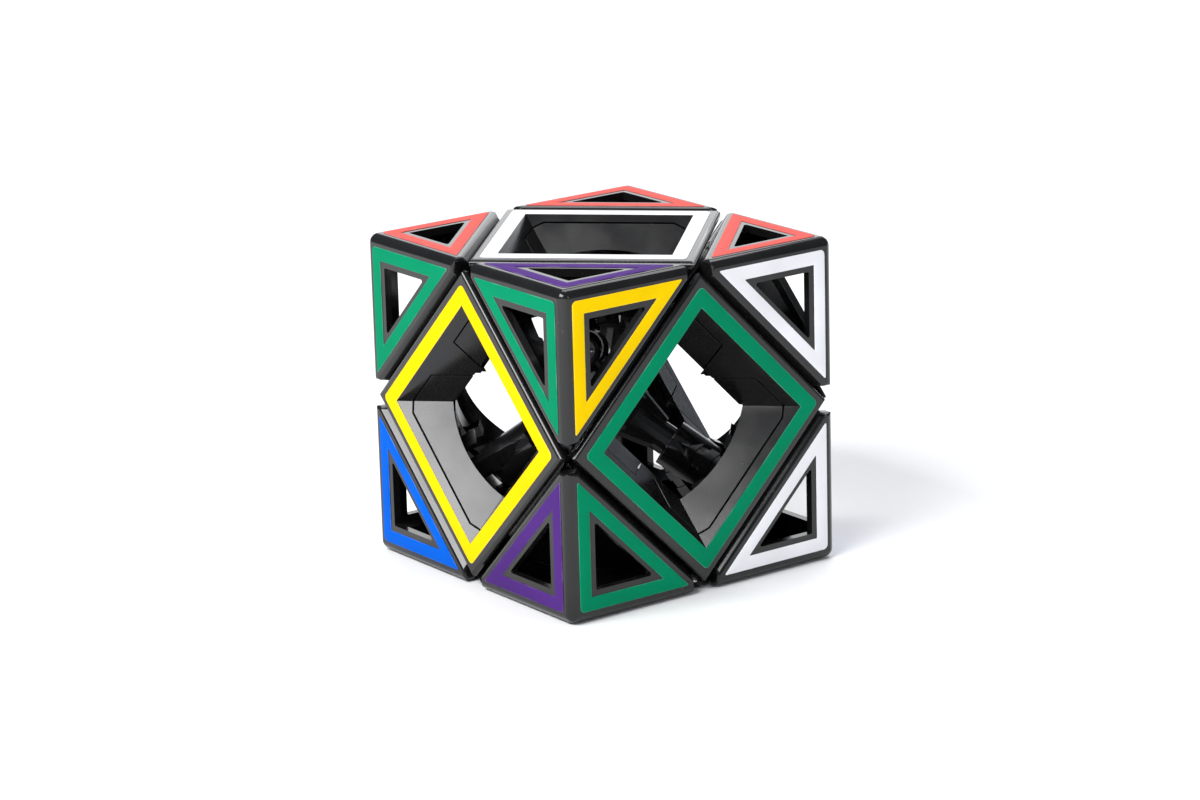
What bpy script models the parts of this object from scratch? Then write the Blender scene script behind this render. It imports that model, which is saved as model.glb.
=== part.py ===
"""A hollow cube puzzle that turns about its four body diagonals, built as its separate moulded pieces.

Four planes through the cube's middle, each square to a body diagonal, cut it into 6 square centres and
8 corners. Four of the corners are axle corners: a screw and a spring hold each on an arm of the core.
The other four are floating corners. Every piece is an open frame, so one can see through the cube.

Pieces on the side of a cut that its diagonal points to carry an arched tongue across the cut, and those
on the other side have a groove for it. So each half turns, and nothing comes out.
"""

import math

import bmesh
import bpy
from mathutils import Matrix, Vector

MM = 0.001

# Outer form
HALF = 32.5 * MM  # half the cube's side
CLEARANCE = 0.3 * MM  # from a cut plane to a piece's side
EDGE_RADIUS = 2.0 * MM  # on the cube's own edges
CUT_EDGE_RADIUS = 1.0 * MM  # where a face meets a cut
FILLET_STEPS = 2
CORNER_END = 2.7 * MM  # from a middle plane to the blunt end of a corner's edge
CENTRE_END = HALF - 1.9 * MM  # to a centre's blunt points
END_RADIUS = 1.8 * MM

# Corner frames
PLATE = 1.6 * MM  # thickness of a face plate
CORNER_WALL = 3.2 * MM  # from a cut plane to a corner's inner wall
WINDOW_LEG = 26.4 * MM  # from the cube's middle planes to a triangular window's short sides
WINDOW_HYPOTENUSE = 39.3 * MM  # sum of the two face coordinates along its long side
WINDOW_CORNER = 0.35 * MM  # radius
BASE_INNER = 29.2 * MM  # radius about the cube's middle where the walls end
AXLE_SPLIT = 34.0 * MM  # radius of the seam between an axle corner's shell and its base
FLOATING_SPLIT = 36.8 * MM
SEAM = 0.3 * MM  # gap that two joined pieces keep

# Centre frames
CENTRE_WALL = 5.0 * MM
CENTRE_FLOOR = 24.2 * MM  # height over the cube's middle where a centre's walls end
STEP_WIDTHS = (10.5 * MM, 5.0 * MM)  # of the steps under a wall
STEP_DROPS = (1.1 * MM, 2.3 * MM)
STEP_INSETS = (0.4 * MM, 0.7 * MM)  # from the wall's sides
RAIL_TOP = HALF - 1.6 * MM
RAIL_SKIN = 3.1 * MM  # what a rail leaves of the neighbouring wall
RAIL_REACH = 12.5 * MM  # how far a rail's ends run along the neighbouring walls
RAIL_CHAMFER_START = 13.0 * MM
RAIL_CHAMFER_SLOPE = 0.42

# Tongues and grooves, turned about a diagonal
TONGUE_INNER = 32.1 * MM
TONGUE_OUTER = 35.9 * MM
TONGUE_REACH = 1.75 * MM  # past the cut plane
TONGUE_ROOT = 1.5 * MM
TONGUE_END = 3.6 * MM  # from the planes at its two ends
RUNNING = 0.35 * MM

# Axle, by distance from the cube's middle along a diagonal
HUB_FACE = 7.4 * MM  # to the hub's faces, square to the diagonals
HUB_FLAT = 8.0 * MM  # to the flats that blunt its points
FIN_RADIUS = 5.6 * MM
FIN_END = 13.5 * MM
FIN_WIDTH = 1.4 * MM
FIN_TAPER = 0.3
ARM_RADIUS = 3.1 * MM
ARM_END = 16.0 * MM
ARM_BORE_END = 9.2 * MM
CUP_START = 16.3 * MM
CUP_FLOOR = 1.7 * MM
CUP_END = 26.5 * MM
CUP_RADIUS = 4.8 * MM
CUP_BORE = 3.6 * MM
CUP_RIM = 0.3 * MM  # width of the flat that its chamfer leaves
SHANK_RADIUS = 1.3 * MM
SHANK_HOLE = 1.4 * MM
SHANK_START = 9.6 * MM
HEAD_START = 24.0 * MM
HEAD_HEIGHT = 1.7 * MM
HEAD_RADIUS = 3.0 * MM
HEAD_SLOT = 0.7 * MM
HEAD_DOME = 1.2 * MM
SLOT_REACH = 1.8 * MM
DOME_STEPS = 4
WASHER_START = 23.2 * MM
WASHER_HEIGHT = 0.5 * MM
SPRING_START = 18.5 * MM
SPRING_END = 22.75 * MM
SPRING_RADIUS = 2.3 * MM
SPRING_WIRE = 0.35 * MM
SPRING_TURNS = 4
SPRING_POINTS_PER_TURN = 8

# The legs from an axle corner's cup to its walls, and the clips that hold its shell
LEG_START = 18.0 * MM
LEG_END = 31.0 * MM
LEG_NEAR = 1.2 * MM  # from the cut plane
LEG_FAR = 3.6 * MM
LEG_WIDTH = 4.2 * MM
KNUCKLE_NEAR = 0.85 * MM
KNUCKLE_STARTS = (20.1 * MM, 23.9 * MM)
KNUCKLE_WIDTHS = (6.8 * MM, 5.4 * MM)
KNUCKLE_LENGTH = 1.9 * MM
FOOT_OFFSET = 5.1 * MM
FOOT_WIDTH = 2.7 * MM
FOOT_START = 25.8 * MM
FOOT_END = 30.6 * MM
FOOT_LEAN = 0.35
FOOT_NEAR = 1.0 * MM
FOOT_FAR = 2.7 * MM
GUSSET_START = 19.0 * MM
GUSSET_WIDTH = 1.5 * MM
GUSSET_FOOT = 30.4 * MM
GUSSET_SLOPE = 0.48
GUSSET_SUNK = 0.5 * MM
CLIP_START = 30.5 * MM
CLIP_END = 38.4 * MM
CLIP_WIDTH = 5.3 * MM
CLIP_THICKNESS = 0.9 * MM
CLIP_ROOT_END = 33.0 * MM

ROUND_STEPS = 16
TRACK_STEPS = 56
BALL_STEPS = 40
FAR = 90 * MM  # past every surface of the cube
MERGE = 1e-6  # metres
ON_PLANE = 1e-8  # metres
FLAT_ANGLE = math.radians(0.05)

# Diagonals are numbered 0 to 3. Each points at its axle corner.
DIAGONALS = [Vector(d).normalized() for d in ((1, -1, 1), (-1, 1, 1), (-1, -1, -1), (1, 1, -1))]
X, Y, Z = Vector((1, 0, 0)), Vector((0, 1, 0)), Vector((0, 0, 1))

HALF_TURNS = {
    "none": Matrix.Identity(4),
    "z": Matrix.Rotation(math.pi, 4, "Z"),
    "y": Matrix.Rotation(math.pi, 4, "Y"),
    "x": Matrix.Rotation(math.pi, 4, "X"),
}
THIRD_TURN = Matrix.Rotation(math.radians(120), 4, Vector((1, 1, 1)))

# Each place is a turn of the first one
AXLE_PLACES = {
    "front_right_top": HALF_TURNS["none"],
    "back_left_top": HALF_TURNS["z"],
    "front_left_bottom": HALF_TURNS["y"],
    "back_right_bottom": HALF_TURNS["x"],
}
FLOATING_PLACES = {
    "front_left_top": HALF_TURNS["none"],
    "back_right_top": HALF_TURNS["z"],
    "front_right_bottom": HALF_TURNS["y"],
    "back_left_bottom": HALF_TURNS["x"],
}
CENTRE_PLACES = {
    "top": HALF_TURNS["none"],
    "bottom": HALF_TURNS["x"],
    "right": THIRD_TURN,
    "left": HALF_TURNS["z"] @ THIRD_TURN,
    "back": THIRD_TURN @ THIRD_TURN,
    "front": HALF_TURNS["z"] @ THIRD_TURN @ THIRD_TURN,
}


# Solids


def clear_scene():
    for obj in list(bpy.data.objects):
        bpy.data.objects.remove(obj, do_unlink=True)


def object_from(bm, name="work"):
    bmesh.ops.recalc_face_normals(bm, faces=bm.faces[:])
    mesh = bpy.data.meshes.new(name)
    bm.to_mesh(mesh)
    bm.free()
    obj = bpy.data.objects.new(name, mesh)
    bpy.context.scene.collection.objects.link(obj)
    return obj


def convex(planes):
    """The space inside all planes, each an outward unit normal and its distance from the origin."""
    bm = bmesh.new()
    bmesh.ops.create_cube(bm, size=2 * FAR)
    for normal, distance in planes:
        everything = bm.verts[:] + bm.edges[:] + bm.faces[:]
        bmesh.ops.bisect_plane(
            bm, geom=everything, dist=ON_PLANE, plane_co=normal * distance, plane_no=normal, clear_outer=True
        )
        rim = [edge for edge in bm.edges if edge.is_boundary]
        if rim:
            bmesh.ops.edgeloop_fill(bm, edges=rim)
    return object_from(bm)


def turned(profile, axis, steps):
    """A closed profile of (radius, height) points, turned about an axis through the origin."""
    bm = bmesh.new()
    verts = [bm.verts.new((radius, 0, height)) for radius, height in profile]
    edges = [bm.edges.new((verts[i - 1], verts[i])) for i in range(len(verts))]
    bmesh.ops.spin(
        bm, geom=verts + edges, cent=(0, 0, 0), axis=Z, angle=2 * math.pi, steps=steps, use_merge=True
    )
    bmesh.ops.remove_doubles(bm, verts=bm.verts[:], dist=MERGE)
    on_axis = [edge for edge in bm.edges if not edge.link_faces]
    bmesh.ops.delete(bm, geom=on_axis, context="EDGES")
    bmesh.ops.transform(bm, matrix=axis.to_track_quat("Z", "Y").to_matrix().to_4x4(), verts=bm.verts[:])
    return object_from(bm)


def disc(radius, start, end, axis, steps=ROUND_STEPS):
    return turned([(0, start), (radius, start), (radius, end), (0, end)], axis, steps)


def ball(radius):
    bm = bmesh.new()
    bmesh.ops.create_uvsphere(bm, u_segments=BALL_STEPS, v_segments=BALL_STEPS // 2, radius=radius)
    return object_from(bm)


def triangulate(mesh):
    """Flat triangles are what an exact Boolean cuts cleanly. A face with more corners is never quite flat."""
    bm = bmesh.new()
    bm.from_mesh(mesh)
    bmesh.ops.remove_doubles(bm, verts=bm.verts[:], dist=MERGE)
    bmesh.ops.dissolve_degenerate(bm, edges=bm.edges[:], dist=MERGE)
    bmesh.ops.dissolve_limit(bm, angle_limit=FLAT_ANGLE, verts=bm.verts[:], edges=bm.edges[:])
    bmesh.ops.triangulate(bm, faces=bm.faces[:])
    bm.to_mesh(mesh)
    bm.free()


def combine(target, other, operation, solver="EXACT"):
    """Changes target by a Boolean with other, which is used up."""
    triangulate(target.data)
    triangulate(other.data)
    modifier = target.modifiers.new("combine", "BOOLEAN")
    modifier.operation = operation
    modifier.solver = solver
    modifier.object = other
    bpy.context.view_layer.update()
    graph = bpy.context.evaluated_depsgraph_get()
    result = bpy.data.meshes.new_from_object(target.evaluated_get(graph))
    target.modifiers.clear()
    before = target.data
    target.data = result
    bpy.data.meshes.remove(before)
    bpy.data.objects.remove(other, do_unlink=True)
    return target


def cut(target, *others, **choice):
    for other in others:
        combine(target, other, "DIFFERENCE", **choice)
    return target


def join(target, *others, **choice):
    for other in others:
        combine(target, other, "UNION", **choice)
    return target


def keep(target, *others):
    for other in others:
        combine(target, other, "INTERSECT")
    return target


# Planes, each an outward normal and a distance


def side(index, distance, sign):
    """Keeps what is at least distance from a cut plane, on its + or its - side."""
    return (-sign * DIAGONALS[index], -distance)


def fillet(first, second, radius):
    """Planes tangent to a fillet between two planes."""
    (n1, c1), (n2, c2) = first, second
    g = n1.dot(n2)
    a = ((c1 - radius) - g * (c2 - radius)) / (1 - g * g)
    b = ((c2 - radius) - g * (c1 - radius)) / (1 - g * g)
    middle = a * n1 + b * n2
    found = []
    for step in range(1, FILLET_STEPS + 1):
        normal = n1.slerp(n2, step / (FILLET_STEPS + 1))
        found.append((normal, normal.dot(middle) + radius))
    return found


def rounded_point(faces, radius):
    """Planes that round the point where three square faces meet, between those of the fillets."""
    (n1, _), (n2, _), (n3, _) = faces
    middle = (HALF - radius) * (n1 + n2 + n3)
    found = []
    for first in range(1, FILLET_STEPS):
        for second in range(1, FILLET_STEPS + 1 - first):
            normal = (first * n1 + second * n2 + (FILLET_STEPS + 1 - first - second) * n3).normalized()
            found.append((normal, normal.dot(middle) + radius))
    return found


def track(index, inner, outer, low, high):
    """A flat ring about a diagonal."""
    profile = [(inner, low), (outer, low), (outer, high), (inner, high)]
    return turned(profile, DIAGONALS[index], TRACK_STEPS)


def groove(index):
    return track(
        index, TONGUE_INNER - RUNNING, TONGUE_OUTER + RUNNING, -TONGUE_REACH - RUNNING, CLEARANCE + RUNNING
    )


def tongue(index, ends):
    """The tongue that crosses one cut plane, between the planes at its two ends."""
    ring = track(index, TONGUE_INNER, TONGUE_OUTER, -TONGUE_REACH, TONGUE_ROOT)
    return keep(ring, convex([side(end, TONGUE_END, sign) for end, sign in ends]))


# Corners


def corner_faces(corner):
    """The three cube faces that meet at a corner, given by the signs of its coordinates."""
    return [(axis * sign, HALF) for axis, sign in zip((X, Y, Z), corner)]


def nearest_cut(face, cuts):
    """The cut plane along the long side of a corner's triangular face."""
    return min(cuts, key=lambda plane: abs(plane[0].dot(face[0]) - 1 / math.sqrt(3)))


def corner_block(corner, cuts):
    """A whole corner with its outer edges rounded, before it's hollowed."""
    faces = corner_faces(corner)
    ends = [(-normal, -CORNER_END) for normal, _ in faces]
    planes = faces + cuts + ends + rounded_point(faces, EDGE_RADIUS)
    for i in range(3):
        planes += fillet(faces[i], ends[i - 1], CUT_EDGE_RADIUS)
        planes += fillet(faces[i], ends[i - 2], CUT_EDGE_RADIUS)
        for wall in cuts:
            if wall[0].dot(ends[i][0]) > 0:
                planes += fillet(wall, ends[i], END_RADIUS)
        planes += fillet(faces[i - 1], faces[i], EDGE_RADIUS)
        planes += fillet(faces[i], nearest_cut(faces[i], cuts), CUT_EDGE_RADIUS)
    return convex(planes)


def corner_cavity(corner, walls):
    faces = [(normal, distance - PLATE) for normal, distance in corner_faces(corner)]
    return convex(faces + walls)


def corner_windows(corner):
    """A triangular prism through each of the three face plates."""
    faces = corner_faces(corner)
    found = []
    for i in range(3):
        across, along, out = faces[i - 2][0], faces[i - 1][0], faces[i][0]
        slant = (across + along).normalized()
        rim = [(across, WINDOW_LEG), (along, WINDOW_LEG), (-slant, -WINDOW_HYPOTENUSE / math.sqrt(2))]
        corners = [plane for k in range(3) for plane in fillet(rim[k - 1], rim[k], WINDOW_CORNER)]
        found.append(convex(rim + corners + [(-out, -(HALF - 3 * PLATE)), (out, HALF + 2 * PLATE)]))
    return found


def corner_shell(corner, sign, others, split):
    """The outer part of a corner: three windowed face plates, joined along the cube's edges."""
    shell = corner_block(corner, [side(index, CLEARANCE, sign) for index in others])
    cut(shell, corner_cavity(corner, [side(index, CORNER_WALL, sign) for index in others]))
    cut(shell, *corner_windows(corner))
    return cut(shell, ball(split + SEAM / 2))


def corner_walls(sign, others, split):
    """The inner part of a corner: three walls along the cuts, from the seam down to the hollow middle."""
    walls = convex([side(index, CLEARANCE, sign) for index in others])
    keep(walls, ball(split - SEAM / 2))
    cut(walls, convex([side(index, CORNER_WALL, sign) for index in others]))
    return cut(walls, ball(BASE_INNER))


def along_wall(index, near, far, start, end, width):
    """A block that lies along a wall of the first axle corner, on the line up the middle of it."""
    normal, up, across = wall_frame(index)
    return convex(
        [(-normal, far), (normal, -near), (up, end), (-up, -start), (across, width / 2), (-across, width / 2)]
    )


def wall_frame(index):
    """Square to a wall of the first axle corner, up the middle of it, and across it."""
    normal = DIAGONALS[index]
    up = (DIAGONALS[0] - DIAGONALS[0].dot(normal) * normal).normalized()
    return normal, up, normal.cross(up)


def ridge(index, near, width, start, end):
    """A bar up the middle of a wall, with its roof towards the cut plane."""
    normal, up, across = wall_frame(index)
    slopes = [(normal + across).normalized(), (normal - across).normalized()]
    return convex(
        [(slope, -near * slope.dot(normal)) for slope in slopes]
        + [(-normal, LEG_FAR), (up, end), (-up, -start), (across, width / 2), (-across, width / 2)]
    )


def foot(index, sign):
    """A tab beside the leg that reaches in past the wall."""
    normal, up, across = wall_frame(index)
    middle = sign * FOOT_OFFSET
    lean = (up + FOOT_LEAN * sign * across).normalized()
    return convex(
        [
            (normal, -FOOT_NEAR),
            (-normal, FOOT_FAR),
            (up, FOOT_END),
            (-lean, -lean.dot(FOOT_START * up + middle * across)),
            (across, middle + FOOT_WIDTH / 2),
            (-across, FOOT_WIDTH / 2 - middle),
        ]
    )


def gusset(index):
    """A rib that stands on a leg and slopes up to the cup."""
    normal, up, across = wall_frame(index)
    slope = (GUSSET_SLOPE * up - normal).normalized()
    lowest = GUSSET_FOOT * up - (LEG_FAR - GUSSET_SUNK) * normal
    return convex(
        [
            (normal, -2 * LEG_NEAR),
            (up, GUSSET_FOOT),
            (-up, -GUSSET_START),
            (across, GUSSET_WIDTH / 2),
            (-across, GUSSET_WIDTH / 2),
            (slope, slope.dot(lowest)),
        ]
    )


def clip(index):
    """A tab that stands off the shell's wall, on a root that joins it to the base's wall."""
    near = CORNER_WALL + SEAM
    middle = near + CLIP_THICKNESS / 2
    tab = along_wall(index, near, near + CLIP_THICKNESS, CLIP_START, CLIP_END, CLIP_WIDTH)
    root = along_wall(index, LEG_NEAR * 2, middle, CLIP_START + SEAM, CLIP_ROOT_END, CLIP_WIDTH - SEAM)
    return join(tab, root)


def axle_corner_shell():
    shell = corner_shell((1, -1, 1), -1, (1, 2, 3), AXLE_SPLIT)
    return cut(shell, *[groove(index) for index in (1, 2, 3)])


def axle_corner_base():
    """Walls with the inner lip of each groove, three legs to a cup on the axle, and three clips."""
    parts = []
    for index in (1, 2, 3):
        parts += [ridge(index, LEG_NEAR, LEG_WIDTH, LEG_START, LEG_END), clip(index), gusset(index)]
        for start, width in zip(KNUCKLE_STARTS, KNUCKLE_WIDTHS):
            parts.append(ridge(index, KNUCKLE_NEAR, width, start, start + KNUCKLE_LENGTH))
        parts += [foot(index, 1), foot(index, -1)]
    rim = CUP_BORE + CUP_RIM
    shoulder = CUP_END - (CUP_RADIUS - rim)
    outline = [(0, CUP_START), (CUP_RADIUS, CUP_START), (CUP_RADIUS, shoulder), (rim, CUP_END), (0, CUP_END)]
    parts.append(turned(outline, DIAGONALS[0], ROUND_STEPS))
    bore = disc(CUP_BORE, CUP_START + CUP_FLOOR, CUP_END + PLATE, DIAGONALS[0])
    hole = disc(SHANK_HOLE, CUP_START - PLATE, CUP_START + 2 * CUP_FLOOR, DIAGONALS[0])
    base = join(corner_walls(-1, (1, 2, 3), AXLE_SPLIT), *parts, solver="MANIFOLD")
    return cut(base, bore, hole, *[groove(index) for index in (1, 2, 3)], solver="MANIFOLD")


def floating_corner_shell():
    return corner_shell((-1, -1, 1), 1, (0, 1, 2), FLOATING_SPLIT)


def floating_corner_base():
    """Walls with a tongue out of each."""
    base = corner_walls(1, (0, 1, 2), FLOATING_SPLIT)
    for index in (0, 1, 2):
        ends = [(end, 1) for end in (0, 1, 2) if end != index]
        join(base, tongue(index, ends))
    return base


# Centres. The top one is on the + side of cuts 0 and 1, where its rails are, and on the - side of 2 and 3.


def centre_sides(distance):
    return [side(0, distance, 1), side(1, distance, 1), side(2, distance, -1), side(3, distance, -1)]


def rail_space(grow):
    """The space of the rail along cut 0, and with grow the pocket for it."""
    along = (X + Y).normalized()
    slopes = []
    for sign in (1, -1):
        normal = (Z + RAIL_CHAMFER_SLOPE * sign * along).normalized()
        height = RAIL_TOP + RAIL_CHAMFER_SLOPE * RAIL_CHAMFER_START
        slopes.append((normal, height * normal.z + grow))
    return slopes + [
        (Z, RAIL_TOP + grow),
        (DIAGONALS[0], RAIL_REACH + grow),
        side(2, RAIL_SKIN + SEAM - grow, -1),
        side(3, RAIL_SKIN + SEAM - grow, -1),
    ]


def wall_step(index, width, drop, inset):
    """A block under one of the cap's walls, which steps its inner end."""
    along = DIAGONALS[index].cross(Z).normalized()
    return convex(
        [
            side(index, CLEARANCE + inset, -1),
            (-DIAGONALS[index], CENTRE_WALL - inset),
            (along, width / 2),
            (-along, width / 2),
            (-Z, drop - CENTRE_FLOOR),
            (Z, CENTRE_FLOOR + PLATE),
        ]
    )


def centre_cap():
    """The square frame on the face, with two deep walls. The rails close its other two sides."""
    face = (Z, HALF)
    sides = centre_sides(CLEARANCE)
    ends = [(X, CENTRE_END), (Y, CENTRE_END), (-X, CENTRE_END), (-Y, CENTRE_END)]
    planes = [face, (-Z, -CENTRE_FLOOR)] + sides + ends
    for end in ends:
        planes += fillet(face, end, CUT_EDGE_RADIUS)
        for wall in sides:
            if wall[0].dot(end[0]) > 0:
                planes += fillet(wall, end, END_RADIUS)
    for wall in sides:
        planes += fillet(face, wall, CUT_EDGE_RADIUS)
    cap = convex(planes)
    cut(cap, convex(centre_sides(CENTRE_WALL)))
    for index in (2, 3):
        join(cap, *[wall_step(index, *sizes) for sizes in zip(STEP_WIDTHS, STEP_DROPS, STEP_INSETS)])
    first = convex(rail_space(SEAM))
    second = convex(rail_space(SEAM))
    second.matrix_world = HALF_TURNS["z"]
    cut(cap, first, second)
    return cut(cap, groove(2), groove(3))


def centre_rail():
    """One deep wall with its tongue. Its ends wrap round onto the cap's walls."""
    rail = convex([side(0, CLEARANCE, 1), (-Z, -CENTRE_FLOOR)] + rail_space(0))
    cut(rail, convex(centre_sides(CENTRE_WALL)))
    scallop = keep(ball(BASE_INNER), convex([(DIAGONALS[0], CENTRE_WALL + SEAM)]))
    cut(rail, scallop)
    return join(rail, tongue(0, [(2, -1), (3, -1)]))


# Axle


def fin(axis, other):
    """A rib on an arm, on the side away from another arm, that tapers towards the arm's end."""
    out = (axis.dot(other) * axis - other).normalized()
    across = axis.cross(out)
    taper = (out + FIN_TAPER * axis).normalized()
    corner = FIN_RADIUS * out + HUB_FACE * axis
    return convex(
        [
            (axis, FIN_END),
            (-axis, -HUB_FACE / 2),
            (-out, -ARM_RADIUS / 3),
            (across, FIN_WIDTH / 2),
            (-across, FIN_WIDTH / 2),
            (taper, taper.dot(corner)),
        ]
    )


def core():
    """A faceted hub with four bored arms."""
    hub = convex(
        [(sign * axis, HUB_FACE) for axis in DIAGONALS for sign in (1, -1)]
        + [(sign * axis, HUB_FLAT) for axis in (X, Y, Z) for sign in (1, -1)]
    )
    for axis in DIAGONALS:
        join(hub, disc(ARM_RADIUS, HUB_FACE / 2, ARM_END, axis))
        for other in DIAGONALS:
            if other != axis:
                join(hub, fin(axis, other))
    for axis in DIAGONALS:
        cut(hub, disc(SHANK_HOLE, ARM_BORE_END, ARM_END + PLATE, axis))
    return hub


def axle_screw():
    head_end = HEAD_START + HEAD_HEIGHT
    profile = [
        (0, SHANK_START),
        (SHANK_RADIUS, SHANK_START),
        (SHANK_RADIUS, HEAD_START),
        (HEAD_RADIUS, HEAD_START),
    ]
    for step in range(DOME_STEPS + 1):
        angle = math.pi / 2 * step / DOME_STEPS
        profile.append((HEAD_RADIUS * math.cos(angle), head_end - HEAD_DOME * (1 - math.sin(angle))))
    screw = turned(profile, DIAGONALS[0], ROUND_STEPS)
    across = DIAGONALS[0].cross(Z).normalized()
    for normal in (across, DIAGONALS[0].cross(across)):
        other = DIAGONALS[0].cross(normal)
        slot = [(normal, HEAD_SLOT / 2), (-normal, HEAD_SLOT / 2), (-DIAGONALS[0], -(head_end - HEAD_HEIGHT / 2))]
        reach = [(other, SLOT_REACH), (-other, SLOT_REACH)]
        cut(screw, convex(slot + reach))
    return screw


def axle_washer():
    end = WASHER_START + WASHER_HEIGHT
    profile = [(SHANK_HOLE, WASHER_START), (HEAD_RADIUS, WASHER_START), (HEAD_RADIUS, end), (SHANK_HOLE, end)]
    return turned(profile, DIAGONALS[0], ROUND_STEPS)


def axle_spring():
    """A coil of round wire, as a curve with a bevel."""
    count = SPRING_TURNS * SPRING_POINTS_PER_TURN
    curve = bpy.data.curves.new("work", "CURVE")
    curve.dimensions = "3D"
    curve.bevel_depth = SPRING_WIRE
    curve.bevel_resolution = 1
    curve.use_fill_caps = True
    spline = curve.splines.new("POLY")
    spline.points.add(count)
    aim = DIAGONALS[0].to_track_quat("Z", "Y")
    for i, point in enumerate(spline.points):
        angle = 2 * math.pi * i / SPRING_POINTS_PER_TURN
        height = SPRING_START + SPRING_WIRE + (SPRING_END - SPRING_START - 2 * SPRING_WIRE) * i / count
        place = Vector((SPRING_RADIUS * math.cos(angle), SPRING_RADIUS * math.sin(angle), height))
        point.co = (*(aim @ place), 1)
    obj = bpy.data.objects.new("work", curve)
    bpy.context.scene.collection.objects.link(obj)
    return obj


# Materials and places


def material(name, colour, roughness, metallic=0.0):
    made = bpy.data.materials.new(name)
    made.use_nodes = True
    shader = made.node_tree.nodes["Principled BSDF"]
    shader.inputs["Base Color"].default_value = (*colour, 1)
    shader.inputs["Roughness"].default_value = roughness
    shader.inputs["Metallic"].default_value = metallic
    return made


def place_copies(first, prefix, turns, finish, middle):
    """One object for each place, all sharing the first one's shape, about the cube's middle."""
    shape = first.data
    shape.name = prefix
    if not shape.materials:
        shape.materials.append(finish)
    shape.materials[0] = finish
    if first.type == "MESH":
        shape.shade_smooth()
        shape.set_sharp_from_angle(angle=math.radians(30))
    bpy.data.objects.remove(first, do_unlink=True)
    for name, turn in turns.items():
        obj = bpy.data.objects.new(f"{prefix}_{name}", shape)
        bpy.context.scene.collection.objects.link(obj)
        obj.parent = middle
        obj.matrix_local = turn


def main():
    clear_scene()
    middle = bpy.data.objects.new("middle", None)
    middle.location = (0, 0, HALF)
    bpy.context.scene.collection.objects.link(middle)

    black = material("black_plastic", (0.014, 0.014, 0.015), 0.32)
    inner_black = material("inner_plastic", (0.02, 0.02, 0.022), 0.45)
    steel = material("steel", (0.6, 0.6, 0.62), 0.3, 1.0)

    rail_turns = {}
    for name, turn in CENTRE_PLACES.items():
        rail_turns[f"{name}_a"] = turn
        rail_turns[f"{name}_b"] = turn @ HALF_TURNS["z"]

    place_copies(core(), "core", {"hub": HALF_TURNS["none"]}, inner_black, middle)
    place_copies(axle_corner_shell(), "axle_corner_shell", AXLE_PLACES, black, middle)
    place_copies(axle_corner_base(), "axle_corner_base", AXLE_PLACES, inner_black, middle)
    place_copies(axle_screw(), "axle_screw", AXLE_PLACES, steel, middle)
    place_copies(axle_washer(), "axle_washer", AXLE_PLACES, steel, middle)
    place_copies(axle_spring(), "axle_spring", AXLE_PLACES, steel, middle)
    place_copies(floating_corner_shell(), "floating_corner_shell", FLOATING_PLACES, black, middle)
    place_copies(floating_corner_base(), "floating_corner_base", FLOATING_PLACES, inner_black, middle)
    place_copies(centre_cap(), "centre_cap", CENTRE_PLACES, black, middle)
    place_copies(centre_rail(), "centre_rail", rail_turns, inner_black, middle)


main()
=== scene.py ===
"""The looks of the hollow cube puzzle: every moulded piece with fine rounding, thirty vinyl stickers,
plastic, vinyl and steel as node materials, a pale floor, soft studio light and the camera.
"""

import math

import bmesh
import bpy
from mathutils import Matrix, Vector


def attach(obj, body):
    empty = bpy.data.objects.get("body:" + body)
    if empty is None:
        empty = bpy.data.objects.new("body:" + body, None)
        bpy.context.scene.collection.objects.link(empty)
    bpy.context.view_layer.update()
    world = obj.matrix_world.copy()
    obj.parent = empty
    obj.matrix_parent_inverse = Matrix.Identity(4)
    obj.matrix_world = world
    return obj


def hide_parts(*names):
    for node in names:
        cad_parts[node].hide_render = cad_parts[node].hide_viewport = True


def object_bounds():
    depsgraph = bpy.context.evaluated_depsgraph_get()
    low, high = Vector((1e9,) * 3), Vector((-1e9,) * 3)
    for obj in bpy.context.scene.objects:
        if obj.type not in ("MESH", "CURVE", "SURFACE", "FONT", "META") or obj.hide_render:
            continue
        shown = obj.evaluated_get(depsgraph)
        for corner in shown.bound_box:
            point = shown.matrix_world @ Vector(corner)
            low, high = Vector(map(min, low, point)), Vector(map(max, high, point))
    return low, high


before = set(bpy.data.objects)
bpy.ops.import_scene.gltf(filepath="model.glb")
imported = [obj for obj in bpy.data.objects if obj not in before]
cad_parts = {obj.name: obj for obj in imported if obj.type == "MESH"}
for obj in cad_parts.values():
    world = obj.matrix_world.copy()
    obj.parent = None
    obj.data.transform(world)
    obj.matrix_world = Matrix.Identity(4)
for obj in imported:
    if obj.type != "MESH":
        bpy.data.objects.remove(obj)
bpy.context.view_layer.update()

MM = 0.001

# Softened edges
HAIR = 0.12 * MM  # the widest bevel asked for. Short edges hold it to far less
HAIR_SEGMENTS = 2
SOFT_MERGE = 2e-5  # metres
SOFT_FLAT_ANGLE = math.radians(0.4)
SHARP_ANGLE = math.radians(34)  # edges sharper than this are bevelled
CREASE_ANGLE = math.radians(50)  # edges sharper than this are a crease in the shading
STICKER_CREASE_ANGLE = math.radians(40)

# Outer form
HALF = 32.5 * MM  # half the cube's side
CLEARANCE = 0.3 * MM  # from a cut plane to a piece's side
EDGE_RADIUS = 2.0 * MM  # on the cube's own edges
CUT_EDGE_RADIUS = 1.0 * MM  # where a face meets a cut
FILLET_STEPS = 5
CORNER_END = 2.7 * MM  # from a middle plane to the blunt end of a corner's edge
CENTRE_END = HALF - 1.9 * MM  # to a centre's blunt points
END_RADIUS = 1.8 * MM

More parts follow.
